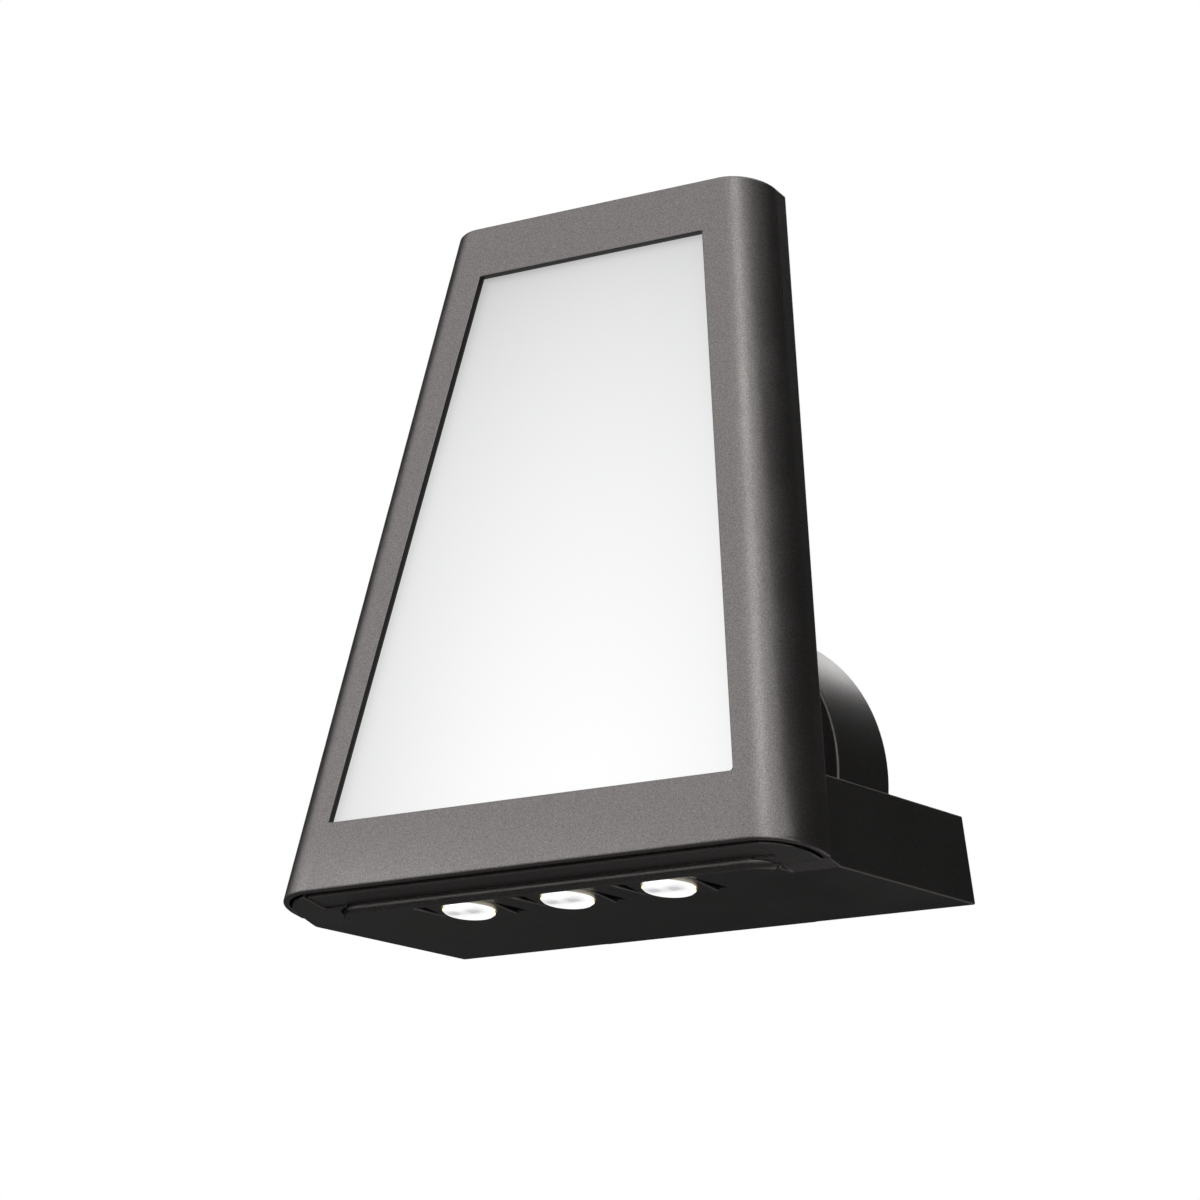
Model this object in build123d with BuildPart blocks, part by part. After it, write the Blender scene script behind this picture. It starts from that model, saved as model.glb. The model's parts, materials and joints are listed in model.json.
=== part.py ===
from build123d import *
import math
import os

os.makedirs("parts", exist_ok=True)

# Outdoor wall light: a leaning light panel over a flat box with three tilting spots, on a round wall rose.
# Frame: origin at the middle of the rose's rear face, on the wall. X right, Y into the wall, Z up.
# Sizes are in millimetres and degrees.

# Wall rose, a round cup with a flat foot that stands on a sill of the box's floor
rose_radius = 58.1
rose_depth = 31.5
rose_sill = 1.8
rose_wall = 3.0
rose_edge_round = 1.0
rose_seal_width = 2.4
rose_seal_thickness = 2.0

# Box under the panel, the spot housing
underside_drop = 45.7
box_height = 28.7
box_half_width = 100.0
box_draft = 8.5
box_wall = 2.5
box_standoff = 17.8
box_corner_round = 0.9
box_edge_round = 0.5
lid_thickness = 2.5

# Tongue: the box's floor reaches forward under the panel and ends in a low wall with rounded corners
tongue_side_gap = 17.0
tongue_corner = 9.0
tongue_front_depth = 15.0
tongue_wall = 1.6
tongue_edge_round = 2.2
floor_bevel = 7.0
tongue_play = 0.4

# Light panel: shell, window and what lies behind it
panel_lean = 10.8
rim_rise = 6.1
rim_reach = 111.0
shell_length = 231.4
shell_side_step = 0.7
shell_half_top = 61.3
shell_depth_bottom = 22.0
shell_depth_top = 19.8
shell_wall = 2.0
shell_corner_bottom = 18.2
shell_corner_top = 13.6
shell_edge_round = 0.6
rim_edge_round = 0.5
window_sill = 22.7
window_head = 18.7
frame_side_bottom = 20.0
frame_side_top = 20.6
window_corner = 1.0
gasket_thickness = 0.6
gasket_width = 1.2
diffuser_thickness = 3.0
diffuser_lip = 4.0
tray_depth = 10.4
tray_inset = 1.0
tray_sheet = 1.2
cover_thickness = 2.0
cover_rib = 2.0
cover_rib_offset = 25.0
cover_seal_width = 1.2

# Panel LED strip on the tray's lower wall
strip_board_inset = 15.0
strip_board_width = 7.0
strip_board_thickness = 1.6
strip_led_count = 10
strip_led_size = 3.0
strip_led_height = 0.8

# Mouth plate with thicker ends, and the trim strip, which close the shell from below
mouth_gap = 1.2
mouth_plate_rise = 1.0
mouth_plate_thickness = 1.6
mouth_end_drop = 0.7
mouth_side_play = 3.0
mouth_ear_width = 12.0
mouth_ear_height = 12.0
mouth_ear_inset = 30.0
trim_front_depth = 5.0
trim_end_gap = 14.5
trim_thickness = 1.1
trim_bevel = 0.4

# Tilting spots
spot_pitch = 38.1
spot_reach = 82.3
spot_rest_tilt = 7.0
spot_face_half = 9.9
spot_face_drop = 5.8
spot_half_length = 12.0
spot_body_height = 10.0
spot_axis_height = 5.6
trunnion_radius = 2.0
trunnion_grip = 3.0
pocket_half_length = 14.4
pocket_half_width = 11.6
saddle_margin = 0.25
saddle_depth = 14.0
cap_height = 4.0
lens_radius = 8.5
lens_flange = 0.8
lens_flange_thickness = 1.2
lens_lip = 1.2
lens_proud = 1.3
lens_crown = 0.7
lens_tip_radius = 4.2
led_cup_radius = 2.4
led_cup_depth = 2.2
led_board_thickness = 1.2
led_dome_radius = 1.8
led_dome_round = 0.8
sink_base = 2.0
sink_fin_height = 5.0
sink_fin_count = 5
sink_fin_thickness = 1.4
sink_half_width = 9.6
sink_screw_edge = 2.4
spot_screw_radius = 0.9

# Fasteners, one radius and one head for each kind
cover_screw_radius = 1.5
cover_boss_radius = 3.2
cover_boss_inset = 8.2
cover_screw_low = 45.0
cover_screw_head = 26.4
cover_screw_grip = 7.0
joint_boss_inset = 11.0
joint_boss_height = 10.5
flange_thickness = 2.5
flange_width = 15.0
flange_half_height = 7.0
lid_post_radius = 3.6
lid_post_side = 12.0
lid_post_end = 9.0
lid_seal_width = 1.2
cap_screw_edge = 2.2
cap_screw_grip = 3.6
small_screw_radius = 1.25
head_ratio = 1.9
head_height_ratio = 1.1
screw_play = 0.05

# Driver, terminal block, bracket and what joins rose and box
driver_length = 104.0
driver_width = 27.0
driver_height = 17.0
driver_lug = 9.0
driver_lug_thickness = 2.0
driver_post_height = 3.0
driver_post_radius = 3.6
driver_gap = 5.0
driver_edge_round = 1.5
bracket_half_length = 48.0
bracket_half_height = 14.0
bracket_thickness = 2.0
bracket_slot_spacing = 72.0
bracket_slot_length = 14.0
bracket_slot_radius = 2.5
bracket_cable_radius = 9.0
rose_screw_spacing = 46.0
rose_screw_radius = 2.0
standoff_radius = 4.0
standoff_length = 8.0
joint_gasket_thickness = 0.8
joint_gasket_length = 66.0
joint_gasket_height = 19.0
joint_screw_spacing = 48.0
joint_boss_length = 7.0
cable_hole_radius = 5.5
grommet_bore = 3.6
grommet_lip = 2.0
grommet_lip_thickness = 1.6
terminal_length = 34.0
terminal_height = 16.0
terminal_depth = 13.0
terminal_lift = 26.0
terminal_pole_count = 3
terminal_pole_radius = 2.2
terminal_pole_depth = 5.0

# Clearances
seat_play = 0.2
rose_play = 0.5
pivot_play = 0.05
slide_play = 0.1

# Places worked out from the sizes above
underside = -underside_drop
box_top = underside + box_height
floor_top = underside + box_wall
box_rear = -box_standoff
lid_under = box_top - lid_thickness
rose_front = -rose_depth
notch_face = rose_front - joint_gasket_thickness
notch_inner = notch_face - box_wall
notch_floor = floor_top + rose_sill
joint_height = (notch_floor + lid_under) / 2
lean = math.radians(panel_lean)
shell_half_bottom = box_half_width + shell_side_step
tongue_half_width = box_half_width - tongue_side_gap
trim_half_width = box_half_width - trim_end_gap
mouth_ear_offset = box_half_width - mouth_ear_inset
window_top = shell_length - window_head
diffuser_front = shell_wall + gasket_thickness
diffuser_rear = diffuser_front + diffuser_thickness
tray_rear = diffuser_rear + tray_depth
trim_rear_depth = tongue_front_depth - seat_play
tongue_inner_depth = tongue_front_depth + tongue_wall
mouth_outer = mouth_plate_rise
mouth_inner = mouth_outer + mouth_plate_thickness
mouth_bend = (rim_rise + mouth_outer * math.cos(lean) - box_wall) / math.sin(lean)
spot_axis_y = box_rear - spot_reach
spot_axis_z = underside + spot_axis_height
spot_places = (-spot_pitch, 0.0, spot_pitch)
drum_radius = math.hypot(spot_face_half, spot_face_drop)
spot_top = spot_body_height - spot_face_drop
bush_radius = spot_axis_height - box_wall - seat_play
saddle_half = spot_pitch / 2 - pocket_half_length - saddle_margin
saddle_places = [spot_pitch * (step - 1.5) for step in range(4)]
sink_reach = math.hypot(spot_top + sink_base + sink_fin_height, sink_half_width)
driver_front = spot_axis_y + max(sink_reach, drum_radius) + driver_gap
driver_middle = driver_front + driver_width / 2
driver_floor = floor_top + driver_post_height
cap_screw_reach = saddle_depth / 2 - cap_screw_edge
cap_screw_places = [
    (across, spot_axis_y + side * cap_screw_reach) for across in saddle_places for side in (-1, 1)
]
driver_screw_places = [(side * (driver_length + driver_lug) / 2, driver_middle) for side in (-1, 1)]
joint_screw_places = [(side * joint_screw_spacing / 2, joint_height) for side in (-1, 1)]
big = 4 * shell_length

# The front plane carries the panel: its x runs right, its y up the panel and its z out of the front.
front = Plane(
    origin=(0, box_rear - rim_reach, underside + rim_rise),
    x_dir=(1, 0, 0),
    z_dir=(0, -math.cos(lean), math.sin(lean)),
)
# The section plane has x up the panel and y as the depth behind its front.
section = Plane(origin=front.origin, x_dir=front.y_dir, z_dir=(-1, 0, 0))
# The mouth plane lies in the shell's lower rim: x runs right, y is the depth and z points up the panel.
mouth = Plane(origin=front.origin, x_dir=(1, 0, 0), z_dir=front.y_dir)


def half_at(height):
    """Half width of the shell at a height along the panel."""
    return shell_half_bottom + (shell_half_top - shell_half_bottom) * height / shell_length


def rear_at(height):
    """Depth of the shell's rear edge at a height along the panel."""
    return shell_depth_bottom + (shell_depth_top - shell_depth_bottom) * height / shell_length


def rear_height(level):
    """Height along the panel at which the shell's rear edge reaches a level above the wall's origin."""
    rise = level - underside - rim_rise + shell_depth_bottom * math.sin(lean)
    return rise / (math.cos(lean) + math.tan(rear_slope) * math.sin(lean))


def corner_at(height):
    """Radius of the shell's rounded sides at a height along the panel."""
    return shell_corner_bottom + (shell_corner_top - shell_corner_bottom) * height / shell_length


def boss_start(inset, height):
    """Depth at which a boss near the side is rooted in the rounded wall."""
    corner = corner_at(height)
    reach = corner - inset + cover_boss_radius
    return corner - math.sqrt((corner - shell_wall / 2) ** 2 - reach**2)


window_half_bottom = half_at(window_sill) - frame_side_bottom
window_half_top = half_at(window_top) - frame_side_top
strip_board_half = window_half_bottom - strip_board_inset
cover_screw_high = shell_length - cover_screw_head
cover_screw_places = (cover_screw_low, (cover_screw_low + cover_screw_high) / 2, cover_screw_high)
rear_slope = math.atan((shell_depth_bottom - shell_depth_top) / shell_length)
rear_normal = front.y_dir * math.sin(rear_slope) - front.z_dir * math.cos(rear_slope)
side_stretch = 1 / math.cos(math.atan((shell_half_bottom - shell_half_top) / shell_length))


def panel_outline(low, high, inset):
    """Corners of a trapezoid that follows the shell's sides at an even inset."""
    at_low = half_at(low) - inset * side_stretch
    at_high = half_at(high) - inset * side_stretch
    return [(-at_low, low), (at_low, low), (at_high, high), (-at_high, high)]


def window_outline():
    """Corners of the window in the front plane."""
    return [
        (-window_half_bottom, window_sill),
        (window_half_bottom, window_sill),
        (window_half_top, window_top),
        (-window_half_top, window_top),
    ]


def window_sheet(depth, grow):
    """Sketch of the window's outline at a depth, grown evenly on all sides."""
    with BuildSketch(front.offset(-depth)) as sheet:
        with BuildSketch(mode=Mode.PRIVATE) as opening:
            Polygon(*window_outline())
        offset(opening.sketch, amount=grow, kind=Kind.INTERSECTION, mode=Mode.ADD)
    return sheet.sketch


def depth_profile(low, high, start, extra):
    """Side profile of a panel layer from a start depth to the rear edge and some more."""
    return [(low, start), (high, start), (high, rear_at(high) + extra), (low, rear_at(low) + extra)]


def panel_body(low, high, inset, extra):
    """Solid that fills the shell's form at an inset, with rounded sides that narrow towards the top."""
    with BuildPart() as body:
        for height in (low, high):
            half = half_at(height) - inset * side_stretch
            rear = rear_at(height) + extra
            with BuildSketch(mouth.offset(height)) as layer:
                Polygon((-half, inset), (half, inset), (half, rear), (-half, rear))
                fillet(layer.vertices().sort_by(Axis.Y)[:2], corner_at(height) - inset)
        loft(ruled=True)
    return body.part


def ahead_of_rear(extra):
    """Solid of all that lies in front of the shell's rear edge, moved back by some more."""
    low, high = -shell_length / 2, shell_length * 1.5
    with BuildPart() as space:
        with BuildSketch(section):
            Polygon(*depth_profile(low, high, -big / 8, extra))
        extrude(amount=big / 2, both=True)
    return space.part


def screws(planes, radius, grip):
    """Group of cap screws: each plane lies under a head, with its z along the head."""
    with BuildPart() as group:
        for plane in planes:
            with BuildSketch(plane):
                Circle(radius * head_ratio)
            extrude(amount=radius * head_height_ratio)
            with BuildSketch(plane.offset(radius * head_height_ratio)):
                RegularPolygon(radius, 6)
            extrude(amount=-radius * head_height_ratio / 2, mode=Mode.SUBTRACT)
            with BuildSketch(plane):
                Circle(radius)
            extrude(amount=-grip)
    return group.part


def facing(origin, z_dir):
    """Plane at a point with its x to the right and its z along the given way."""
    return Plane(origin=origin, x_dir=(1, 0, 0), z_dir=z_dir)


def on_panel(across, height, depth):
    """Plane on the panel at a depth, with its z towards the rear."""
    return facing(front.from_local_coords((across, height, -depth)), -front.z_dir)


def on_rear(across, height, behind):
    """Plane square to the shell's rear edge, some way behind it, with its z towards the rear."""
    edge = front.from_local_coords((across, height, -rear_at(height)))
    return facing(edge + rear_normal * behind, rear_normal)


cover_places = [
    (side * (half_at(height) - cover_boss_inset), height) for height in cover_screw_places for side in (-1, 1)
]
joint_boss_across = half_at(joint_boss_height) - joint_boss_inset
joint_places = [(side * joint_boss_across, joint_boss_height) for side in (-1, 1)]
ear_places = [(side * mouth_ear_offset, mouth_inner + mouth_ear_height / 2) for side in (-1, 1)]
ear_front = trim_front_depth + seat_play
cover_front_drop = cover_thickness + seat_play

# Front shell: a tray with rounded sides, open to the rear and below, with bosses for its screws
shell_cavity = panel_body(-shell_wall * 4, shell_length - shell_wall, shell_wall, shell_wall * 4)
with BuildPart() as front_shell:
    add(panel_body(0, shell_length, 0, 0))
    end_faces = front_shell.faces().sort_by(Axis(front.origin, front.y_dir))
    rim_edges = end_faces[0].edges().sort_by(Axis.Y)[:-1]
    fillet(end_faces[-1].edges(), shell_edge_round)
    fillet(rim_edges, rim_edge_round)
    add(shell_cavity, mode=Mode.SUBTRACT)
    with BuildSketch(front) as window_sketch:
        Polygon(*window_outline())
        fillet(window_sketch.vertices(), window_corner)
    extrude(amount=-shell_wall, mode=Mode.SUBTRACT)
    for across, height in cover_places:
        with BuildSketch(on_rear(across, height, -cover_front_drop)):
            Circle(cover_boss_radius)
        extrude(amount=boss_start(cover_boss_inset, height) + cover_front_drop - rear_at(height))
        with BuildSketch(on_rear(across, height, -cover_front_drop)):
            Circle(cover_screw_radius + screw_play)
        extrude(amount=-cover_screw_grip, mode=Mode.SUBTRACT)
    for across, height in joint_places:
        with BuildSketch(on_rear(across, height, 0)):
            Circle(cover_boss_radius)
        extrude(amount=boss_start(joint_boss_inset, height) - rear_at(height))
        with BuildSketch(on_rear(across, height, 0)):
            Circle(cover_screw_radius + screw_play)
        extrude(amount=-cover_screw_grip, mode=Mode.SUBTRACT)
    for across, height in ear_places:
        with BuildSketch(on_panel(across, height, shell_wall / 2)):
            Circle(cover_boss_radius)
        extrude(amount=ear_front - shell_wall / 2)
        with BuildSketch(on_panel(across, height, ear_front)):
            Circle(small_screw_radius + screw_play)
        extrude(amount=shell_wall - ear_front, mode=Mode.SUBTRACT)
front_shell.part.label = "front_shell"
export_step(front_shell.part, "parts/front_shell.step")

# Window gasket: thin frame between the shell's front wall and the diffuser
with BuildPart() as window_gasket:
    extrude(window_sheet(shell_wall, gasket_width + seat_play), amount=-gasket_thickness)
    extrude(window_sheet(shell_wall, seat_play), amount=-gasket_thickness, mode=Mode.SUBTRACT)
window_gasket.part.label = "window_gasket"
export_step(window_gasket.part, "parts/window_gasket.step")

# Diffuser panel: opal sheet behind the window
with BuildPart() as diffuser_panel:
    extrude(window_sheet(diffuser_front, diffuser_lip), amount=-diffuser_thickness)
diffuser_panel.part.label = "diffuser_panel"
export_step(diffuser_panel.part, "parts/diffuser_panel.step")

# Reflector tray: white sheet box that holds the diffuser against its gasket
with BuildPart() as reflector_tray:
    tray_grow = diffuser_lip - tray_inset
    extrude(window_sheet(diffuser_rear, tray_grow), amount=-tray_depth)
    tray_hollow = window_sheet(diffuser_rear, tray_grow - tray_sheet)
    extrude(tray_hollow, amount=tray_sheet - tray_depth, mode=Mode.SUBTRACT)
reflector_tray.part.label = "reflector_tray"
export_step(reflector_tray.part, "parts/reflector_tray.step")

# Panel LED board and its chips, on the tray's lower wall
tray_floor = window_sill - diffuser_lip + tray_inset + tray_sheet
strip_depth = diffuser_rear + (tray_depth - tray_sheet) / 2
strip_plane = Plane(
    origin=front.from_local_coords((0, tray_floor, -strip_depth)),
    x_dir=(1, 0, 0),
    z_dir=front.y_dir,
)
strip_step = 2 * strip_board_half / strip_led_count
with BuildPart() as panel_led_board:
    with BuildSketch(strip_plane):
        Rectangle(2 * strip_board_half, strip_board_width)
    extrude(amount=strip_board_thickness)
panel_led_board.part.label = "panel_led_board"
export_step(panel_led_board.part, "parts/panel_led_board.step")

with BuildPart() as panel_leds:
    with BuildSketch(strip_plane.offset(strip_board_thickness)):
        with GridLocations(strip_step, 0, strip_led_count, 1):
            Rectangle(strip_led_size, strip_led_size)
    extrude(amount=strip_led_height)
panel_leds.part.label = "panel_leds"
export_step(panel_leds.part, "parts/panel_leds.step")

# Rear cover: plate in the shell's rear mouth, with two ribs that press on the tray
cover_low = rear_height(lid_under)
cover_high = shell_length - shell_wall - cover_seal_width - 2 * slide_play
cover_inset = shell_wall + cover_seal_width + 2 * slide_play
rib_low = cover_low + tray_depth
rib_high = window_top - tray_depth


def cover_layer(low, high, inset):
    """Plate with the slope of the shell's rear edge, one cover thick."""
    with BuildPart() as layer:
        with BuildSketch(front):
            Polygon(*panel_outline(low, high, inset))
        extrude(amount=-big / 2)
        with BuildSketch(section):
            Polygon(
                (low, rear_at(low) - cover_front_drop),
                (high, rear_at(high) - cover_front_drop),
                (high, rear_at(high) - seat_play),
                (low, rear_at(low) - seat_play),
            )
        extrude(amount=big / 2, both=True, mode=Mode.INTERSECT)
    return layer.part


with BuildPart() as rear_cover:
    add(cover_layer(cover_low, cover_high, cover_inset))
    for side in (-1, 1):
        with BuildSketch(section.offset(side * cover_rib_offset)):
            Polygon(
                (rib_low, tray_rear),
                (rib_high, tray_rear),
                (rib_high, rear_at(rib_high) - cover_front_drop),
                (rib_low, rear_at(rib_low) - cover_front_drop),
            )
        extrude(amount=cover_rib / 2, both=True)
    for across, height in cover_places:
        with BuildSketch(on_rear(across, height, 0)):
            Circle(cover_screw_radius + seat_play)
        extrude(amount=-2 * cover_front_drop, mode=Mode.SUBTRACT)
rear_cover.part.label = "rear_cover"
export_step(rear_cover.part, "parts/rear_cover.step")

# Rear cover seal: strip round the cover's edge
with BuildPart() as rear_cover_seal:
    seal_inset = shell_wall + slide_play
    seal_low = cover_low - cover_seal_width - slide_play
    seal_high = shell_length - shell_wall - slide_play
    add(cover_layer(seal_low, seal_high, seal_inset))
    inner_inset = seal_inset + cover_seal_width
    inner = cover_layer(cover_low - slide_play, cover_high + slide_play, inner_inset)
    add(inner, mode=Mode.SUBTRACT)
rear_cover_seal.part.label = "rear_cover_seal"
export_step(rear_cover_seal.part, "parts/rear_cover_seal.step")

# Rear cover screws: their heads stand on the cover's outer face
cover_heads = [on_rear(across, height, -seat_play) for across, height in cover_places]
rear_cover_screws = screws(cover_heads, cover_screw_radius, cover_thickness + cover_screw_grip - seat_play)
rear_cover_screws.label = "rear_cover_screws"
export_step(rear_cover_screws, "parts/rear_cover_screws.step")

# Mouth plate: closes the shell from below, with two ears on its front bosses. Its ends are thicker and come
# down beside the strip and the tongue.
with BuildPart() as mouth_plate:
    short = min(mouth_bend, shell_depth_bottom) - shell_depth_bottom - seat_play
    add(panel_body(-shell_depth_bottom, shell_depth_bottom, shell_wall + mouth_gap, short))
    with BuildSketch(section):
        with Locations((-mouth_end_drop, 0)):
            Rectangle(mouth_inner + mouth_end_drop, 4 * shell_depth_bottom, align=(Align.MIN, Align.CENTER))
    extrude(amount=2 * shell_half_bottom, both=True, mode=Mode.INTERSECT)
    with BuildSketch(mouth.offset(mouth_outer)) as recess:
        with Locations((0, tongue_front_depth - tongue_play)):
            recess_half = tongue_half_width + tongue_play
            Rectangle(2 * recess_half, 2 * shell_depth_bottom, align=(Align.CENTER, Align.MIN))
        fillet(recess.vertices().sort_by(Axis.Y)[0:2], tongue_corner + tongue_play)
        with Locations((0, tongue_front_depth)):
            strip_half = trim_half_width + seat_play
            Rectangle(2 * strip_half, 2 * tongue_front_depth, align=(Align.CENTER, Align.MAX))
    extrude(amount=-2 * mouth_inner, mode=Mode.SUBTRACT)
    with BuildSketch(mouth.offset(mouth_outer)):
        with Locations((0, tongue_inner_depth)):
            clear_half = saddle_places[-1] + saddle_half + mouth_side_play
            Rectangle(2 * clear_half, 2 * shell_depth_bottom, align=(Align.CENTER, Align.MIN))
    extrude(amount=2 * mouth_plate_thickness, mode=Mode.SUBTRACT)
    for across, height in ear_places:
        with BuildSketch(on_panel(across, height, ear_front)):
            Rectangle(mouth_ear_width, mouth_ear_height)
        extrude(amount=mouth_plate_thickness)
        with BuildSketch(on_panel(across, height, ear_front)):
            Circle(small_screw_radius + seat_play)
        extrude(amount=mouth_plate_thickness, mode=Mode.SUBTRACT)
mouth_plate.part.label = "mouth_plate"
export_step(mouth_plate.part, "parts/mouth_plate.step")

ear_heads = [on_panel(across, height, ear_front + mouth_plate_thickness) for across, height in ear_places]
ear_grip = mouth_plate_thickness + ear_front - shell_wall - seat_play
mouth_screws = screws(ear_heads, small_screw_radius, ear_grip)
mouth_screws.label = "mouth_screws"
export_step(mouth_screws, "parts/mouth_screws.step")

# Trim strip: bevelled bar along the front of the mouth plate
with BuildPart() as trim_strip:
    with BuildSketch(section):
        Polygon(
            (mouth_outer, trim_front_depth),
            (mouth_outer, trim_rear_depth),
            (mouth_outer - trim_thickness, trim_rear_depth),
            (mouth_outer - trim_thickness, trim_front_depth + trim_bevel),
            (mouth_outer - trim_thickness + trim_bevel, trim_front_depth),
        )
    extrude(amount=trim_half_width, both=True)
trim_strip.part.label = "trim_strip"
export_step(trim_strip.part, "parts/trim_strip.step")

# Spot housing: drafted box with a notch for the rose, a floor with three pockets and a tongue in front
draft_slope = math.tan(math.radians(box_draft))
wall_stretch = 1 / math.cos(math.radians(box_draft))
box_length = rim_reach


def box_half_at(height, inset):
    """Half width inside the box at a height, at an inset from its outer side."""
    return box_half_width - draft_slope * (height - underside) - inset * wall_stretch


def box_prism(low, high, inset, rear, length):
    """Prism with the box's drafted sides, from a rear plane forward."""
    with BuildPart() as prism:
        with BuildSketch(Plane.XZ.offset(-rear)):
            Polygon(
                (-box_half_at(low, inset), low),
                (box_half_at(low, inset), low),
                (box_half_at(high, inset), high),
                (-box_half_at(high, inset), high),
            )
        extrude(amount=length)
    return prism.part


def rose_disc(radius, foot, rear, front_y):
    """Round body of the rose's form with a flat foot, between two depths."""
    with BuildPart() as disc:
        with BuildSketch(Plane.XZ.offset(-rear)):
            Circle(radius)
            with Locations((0, foot - radius)):
                Rectangle(4 * radius, 2 * radius, mode=Mode.SUBTRACT)
        extrude(amount=rear - front_y)
    return disc.part


def panel_point(height, depth):
    """Y and Z of a point on the panel's section."""
    place = section.from_local_coords((height, depth))
    return place.Y, place.Z


def height_at(level, depth):
    """Height along the panel at which a depth reaches a level."""
    return (level - underside - rim_rise + depth * math.sin(lean)) / math.cos(lean)


def tongue_layer(profile, half_width, corner):
    """Side profile drawn out to both sides, with its front corners rounded."""
    with BuildPart() as layer:
        with BuildSketch(Plane.YZ):
            Polygon(*profile)
        extrude(amount=half_width, both=True)
        fillet(layer.edges().filter_by(Axis(front.origin, front.y_dir)), corner)
    return layer.part


with BuildPart() as tongue:
    bend = panel_point(mouth_outer, mouth_bend)
    tail = bend[0] + 2 * box_wall
    outer_profile = [
        panel_point(mouth_outer, tongue_front_depth),
        panel_point(height_at(underside, tongue_front_depth), tongue_front_depth),
        (tail, underside),
        (tail, floor_top),
        bend,
    ]
    inner_profile = [
        panel_point(mouth_outer, tongue_inner_depth),
        panel_point(height_at(floor_top, tongue_inner_depth), tongue_inner_depth),
        bend,
    ]
    add(tongue_layer(outer_profile, tongue_half_width, tongue_corner))
    tongue_edges = tongue.faces().sort_by(Axis.Z)[0].edges().sort_by(Axis.Y)[:-1]
    fillet(tongue_edges, tongue_edge_round)
    room = tongue_layer(inner_profile, tongue_half_width - tongue_wall, tongue_corner - tongue_wall)
    add(room, mode=Mode.SUBTRACT)

post_places = [
    (side * (box_half_at(box_top, 0) - lid_post_side), along)
    for side in (-1, 1)
    for along in (box_rear - lid_post_end, spot_axis_y + drum_radius)
]
with BuildPart() as spot_housing:
    add(box_prism(underside, box_top, 0, box_rear, box_length))
    rear_face = spot_housing.faces().sort_by(Axis.Y)[-1]
    upright = rear_face.edges().sort_by(Axis.X)
    fillet([upright[0], upright[-1]], box_corner_round)
    lower_face = spot_housing.faces().sort_by(Axis.Z)[0]
    fillet(lower_face.edges(), box_edge_round)
    add(ahead_of_rear(seat_play), mode=Mode.SUBTRACT)
    rim_end, rim_level = panel_point(0, shell_depth_bottom + seat_play)
    for side in (-1, 1):
        with BuildSketch(Plane.YZ.offset(side * tongue_half_width)):
            Polygon(
                (rim_end, rim_level),
                (rim_end + floor_bevel, underside),
                (rim_end + floor_bevel, underside - box_wall),
                (rim_end - floor_bevel, underside - box_wall),
                (rim_end - floor_bevel, rim_level),
            )
        extrude(amount=side * big, mode=Mode.SUBTRACT)
    hollow = box_prism(floor_top, box_top + box_wall, box_wall, box_rear - box_wall, box_length)
    add(hollow, mode=Mode.SUBTRACT)
    add(rose_disc(rose_radius + rose_play + box_wall, underside, box_rear, notch_inner))
    above = box_prism(box_top, box_top + 4 * rose_radius, -2 * rose_radius, 0, box_length)
    add(above, mode=Mode.SUBTRACT)
    add(rose_disc(rose_radius + rose_play, notch_floor, box_standoff, notch_face), mode=Mode.SUBTRACT)
    add(tongue.part)
    with BuildSketch(Plane.XY.offset(underside - box_wall)):
        with Locations(*[(across, spot_axis_y) for across in spot_places]):
            Rectangle(2 * pocket_half_length, 2 * pocket_half_width)
    extrude(amount=3 * box_wall, mode=Mode.SUBTRACT)
    with BuildSketch(Plane.XY.offset(underside + box_wall / 2)):
        with Locations(*[(across, spot_axis_y) for across in saddle_places]):
            Rectangle(2 * saddle_half, saddle_depth)
    extrude(amount=spot_axis_height - box_wall / 2)
    with BuildSketch(Plane.YZ):
        with Locations((spot_axis_y, spot_axis_z)):
            Circle(trunnion_radius + pivot_play)
    saddle_reach = 2 * spot_pitch
    extrude(amount=saddle_reach, both=True, mode=Mode.SUBTRACT)
    with BuildSketch(Plane.XY.offset(spot_axis_z)):
        with Locations(*cap_screw_places):
            Circle(small_screw_radius + screw_play)
    extrude(amount=-cap_screw_grip, mode=Mode.SUBTRACT)
    with BuildSketch(Plane.XY.offset(floor_top)):
        with Locations(*post_places):
            Circle(lid_post_radius)
    extrude(amount=lid_under - floor_top)
    with BuildSketch(Plane.XY.offset(lid_under)):
        with Locations(*post_places):
            Circle(cover_screw_radius + screw_play)
    extrude(amount=-cover_screw_grip, mode=Mode.SUBTRACT)
    with BuildSketch(Plane.XY.offset(floor_top)):
        with Locations(*driver_screw_places):
            Circle(driver_post_radius)
    extrude(amount=driver_post_height)
    with BuildSketch(Plane.XY.offset(driver_floor)):
        with Locations(*driver_screw_places):
            Circle(cover_screw_radius + screw_play)
    extrude(amount=-driver_post_height, mode=Mode.SUBTRACT)
    for side in (-1, 1):
        flange_low = joint_boss_height - flange_half_height
        flange_high = joint_boss_height + flange_half_height
        flange_inner = half_at(flange_high) - flange_width
        with BuildSketch(section.offset(-side * flange_inner)):
            Polygon(
                (flange_low, rear_at(flange_low) + seat_play),
                (flange_high, rear_at(flange_high) + seat_play),
                (flange_high, rear_at(flange_high) + seat_play + flange_thickness),
                (flange_low, rear_at(flange_low) + seat_play + flange_thickness),
            )
        flange_span = box_half_at(lid_under, box_wall / 2) - flange_inner
        extrude(amount=-side * flange_span)
    for across, height in joint_places:
        with BuildSketch(on_rear(across, height, 0)):
            Circle(cover_screw_radius + seat_play)
        extrude(amount=2 * flange_thickness, mode=Mode.SUBTRACT)
    with BuildSketch(Plane.XZ.offset(-notch_face)):
        with Locations((0, joint_height)):
            Circle(cable_hole_radius)
        with Locations(*joint_screw_places):
            Circle(cover_screw_radius + seat_play)
    extrude(amount=2 * box_wall, mode=Mode.SUBTRACT)
spot_housing.part.label = "spot_housing"
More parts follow.
